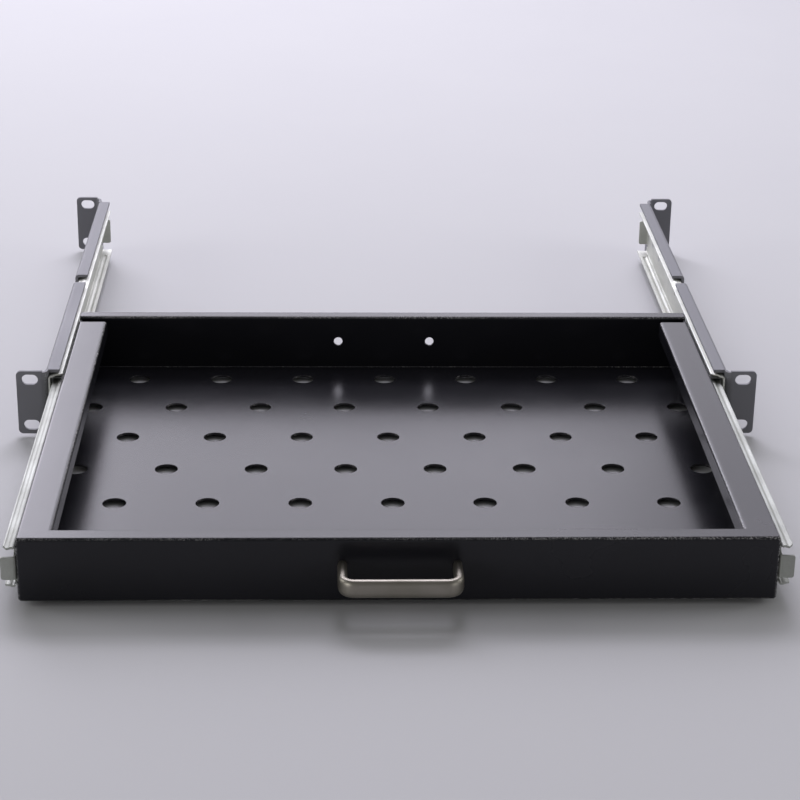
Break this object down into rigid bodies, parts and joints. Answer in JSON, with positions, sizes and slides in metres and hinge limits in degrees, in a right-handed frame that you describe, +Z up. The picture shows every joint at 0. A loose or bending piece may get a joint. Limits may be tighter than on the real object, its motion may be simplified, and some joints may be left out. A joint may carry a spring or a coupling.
{
  "type": "sliding rack shelf",
  "caption": "Pull-out rack shelf: a vented folded tray with a bow handle runs on ball-bearing slides between side brackets with slotted ears that adjust to the depth of the rack.",
  "frame": {"origin": "middle of the four slots of the front ears, on the face of the ears that lies against the rack posts", "axes": "+X across the rack to the right as seen from its front, +Y into the rack, +Z up"},
  "size_m": [0.4826, 0.6431, 0.0436],
  "materials": {
    "black_paint": "semi-gloss black powder coat, fine texture",
    "zinc_plate": "bright zinc-plated rolled steel",
    "cage_steel": "plain stamped steel",
    "ball_steel": "polished steel",
    "satin_nickel": "satin nickel",
    "zinc_fastener": "zinc-plated steel"
  },
  "bodies": {
    "rack_rails": {"left_front_bracket": "black_paint", "left_slide_outer": "zinc_plate", "left_slide_rivets": "zinc_fastener", "left_adjust_screws": "zinc_fastener", "left_adjust_washers": "zinc_fastener", "left_adjust_nuts": "zinc_fastener", "right_front_bracket": "black_paint", "right_slide_outer": "zinc_plate", "right_slide_rivets": "zinc_fastener", "right_adjust_screws": "zinc_fastener", "right_adjust_washers": "zinc_fastener", "right_adjust_nuts": "zinc_fastener"},
    "drawer": {"tray": "black_paint", "handle": "satin_nickel", "handle_screws": "zinc_fastener", "left_slide_inner": "zinc_plate", "left_tray_screws": "zinc_fastener", "left_tray_nuts": "zinc_fastener", "right_slide_inner": "zinc_plate", "right_tray_screws": "zinc_fastener", "right_tray_nuts": "zinc_fastener"},
    "left_cage": {"left_ball_cage": "cage_steel", "left_balls": "ball_steel"},
    "right_cage": {"right_ball_cage": "cage_steel", "right_balls": "ball_steel"},
    "left_rear": {"left_rear_bracket": "black_paint"},
    "right_rear": {"right_rear_bracket": "black_paint"}
  },
  "joints": [
    {"name": "tray_slide", "type": "slide", "parent": "rack_rails", "child": "drawer", "axis": [0, -1, 0], "range_m": [-0.2375, 0]},
    {"name": "left_cage_roll", "type": "slide", "parent": "rack_rails", "child": "left_cage", "axis": [0, -1, 0], "range_m": [-0.11875, 0]},
    {"name": "right_cage_roll", "type": "slide", "parent": "rack_rails", "child": "right_cage", "axis": [0, -1, 0], "range_m": [-0.11875, 0]},
    {"name": "left_depth", "type": "slide", "parent": "rack_rails", "child": "left_rear", "axis": [0, 1, 0], "range_m": [0, 0.09]},
    {"name": "right_depth", "type": "slide", "parent": "rack_rails", "child": "right_rear", "axis": [0, 1, 0], "range_m": [0, 0.09]}
  ],
  "couplings": [
    {"joint": "left_cage_roll", "follows": "tray_slide", "ratio": 0.5},
    {"joint": "right_cage_roll", "follows": "tray_slide", "ratio": 0.5}
  ]
}
